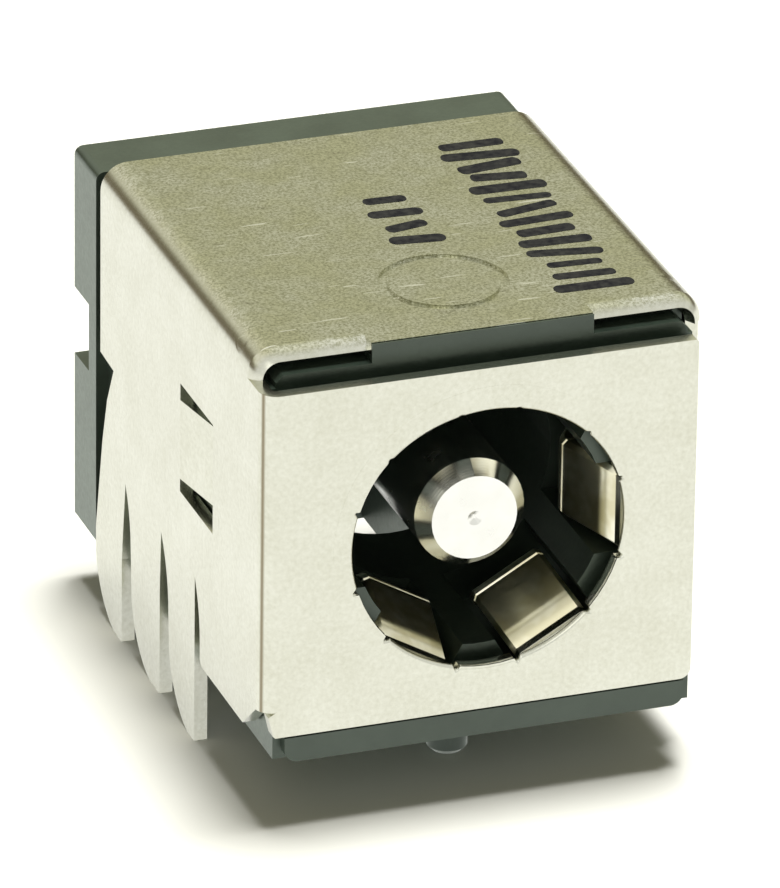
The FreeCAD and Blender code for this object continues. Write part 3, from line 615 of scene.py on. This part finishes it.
# %% World
ROOM_BANDS = [
    (0.0, (0.24, 0.2, 0.12)),
    (0.06, (0.13, 0.105, 0.06)),
    (0.24, (0.15, 0.125, 0.075)),
    (0.36, (0.66, 0.655, 0.49)),
    (0.6, (0.66, 0.655, 0.49)),
    (0.78, (1.0, 1.0, 0.94)),
    (1.0, (1.0, 1.0, 0.94)),
]
FRONT_PALE = (0.8, 0.8, 0.75)
LEFT_PALE = (0.85, 0.83, 0.7)
WARM_LIGHT = (0.15, 0.145, 0.092)
BACKGROUND_WHITE = (1.0, 1.0, 1.0)

world = bpy.data.worlds.new("studio")
bpy.context.scene.world = world
world.use_nodes = True
room = world.node_tree
direction = add(room, "ShaderNodeTexCoord").outputs["Generated"]
to_right, to_back, upward = axes(room, direction)
height_ramp = add(room, "ShaderNodeValToRGB")
feed(room, height_ramp.inputs["Fac"], upward)
elements = height_ramp.color_ramp.elements
while len(elements) < len(ROOM_BANDS):
    elements.new(1.0)
for element, (place, colour) in zip(elements, ROOM_BANDS):
    element.position = place
    element.color = (*colour, 1.0)
front_share = between(room, to_back, -0.25, 0.35, 1.0, 0.0)
left_share = calculate(room, "MULTIPLY", between(room, to_right, -0.2, 0.15, 1.0, 0.0),
                       between(room, upward, 0.34, 0.42))
left_and_back = blend_colours(room, left_share, height_ramp.outputs["Color"], LEFT_PALE)
mirrored_room = blend_colours(room, front_share, left_and_back, FRONT_PALE)
rays = add(room, "ShaderNodeLightPath").outputs
lit_or_mirrored = blend_colours(room, rays["Is Glossy Ray"], WARM_LIGHT, mirrored_room)
background = room.nodes["Background"]
feed(room, background.inputs["Color"],
     blend_colours(room, rays["Is Camera Ray"], lit_or_mirrored, BACKGROUND_WHITE))
feed(room, background.inputs["Strength"], 1.0)
print("world:", world.name, len(ROOM_BANDS), "bands")

# %% [markdown]
# ## Lights
# A soft square light hangs high above, a little behind and to the right, so the shadow falls
# to the front left. It stays out of reflections, which come from the room alone. A weaker one
# in front keeps the inside of the opening readable.

# %% Soft lights
LOOK_AT = Vector((0.0, 5.0 * MM, 4.0 * MM))


def soft_light(name, place, size, power, colour, mirrored):
    """A square lamp turned to the jack, with its place in millimetres."""
    lamp = bpy.data.lights.new(name, "AREA")
    lamp.shape = "SQUARE"
    lamp.size = size
    lamp.energy = power
    lamp.color = colour
    lamp_object = bpy.data.objects.new(name, lamp)
    lamp_object.location = Vector(place) * MM
    aim = LOOK_AT - lamp_object.location
    lamp_object.rotation_euler = aim.to_track_quat("-Z", "Y").to_euler()
    lamp_object.visible_glossy = mirrored
    bpy.context.scene.collection.objects.link(lamp_object)


soft_light("key", (27.0, 21.0, 294.0), 0.095, 1.35, (1.0, 1.0, 0.94), False)
soft_light("fill", (-120.0, -220.0, 150.0), 0.16, 0.05, (1.0, 0.99, 0.95), True)

# %% [markdown]
# ## Camera
# The photograph was taken with a long lens from the front left, about 25 degrees above the
# table. The angles, distance and lens length put the solids over the photograph.

# %% Camera
IMAGE_WIDTH = 780
FOCAL_PIXELS = 10549.0
CAMERA_AZIMUTH = math.radians(-19.676)
CAMERA_ELEVATION = math.radians(25.419)
CAMERA_ROLL = math.radians(0.784)
CAMERA_DISTANCE = 229.09 * MM
CAMERA_TARGET = Vector((-0.491, 5.0, 4.722)) * MM
SENSOR_WIDTH = 36.0

level_right = Vector((math.cos(CAMERA_AZIMUTH), math.sin(CAMERA_AZIMUTH), 0.0))
forward = Vector((-math.sin(CAMERA_AZIMUTH) * math.cos(CAMERA_ELEVATION),
                  math.cos(CAMERA_AZIMUTH) * math.cos(CAMERA_ELEVATION),
                  -math.sin(CAMERA_ELEVATION)))
level_up = level_right.cross(forward)
right = level_right * math.cos(CAMERA_ROLL) + level_up * math.sin(CAMERA_ROLL)
up = level_up * math.cos(CAMERA_ROLL) - level_right * math.sin(CAMERA_ROLL)
camera_data = bpy.data.cameras.new("camera")
camera_data.sensor_fit = "HORIZONTAL"
camera_data.sensor_width = SENSOR_WIDTH
camera_data.lens = FOCAL_PIXELS * SENSOR_WIDTH / IMAGE_WIDTH
camera_data.clip_start = 0.01
camera = bpy.data.objects.new("camera", camera_data)
turn = Matrix((right, up, -forward)).transposed().to_4x4()
camera.matrix_world = Matrix.Translation(CAMERA_TARGET - forward * CAMERA_DISTANCE) @ turn
bpy.context.scene.collection.objects.link(camera)
bpy.context.scene.camera = camera
print("lens", round(camera_data.lens, 1), "mm")

# %% [markdown]
# ## Colour
# The plain view transform keeps the colours as written.

# %% Finish
bpy.context.scene.view_settings.view_transform = "Standard"
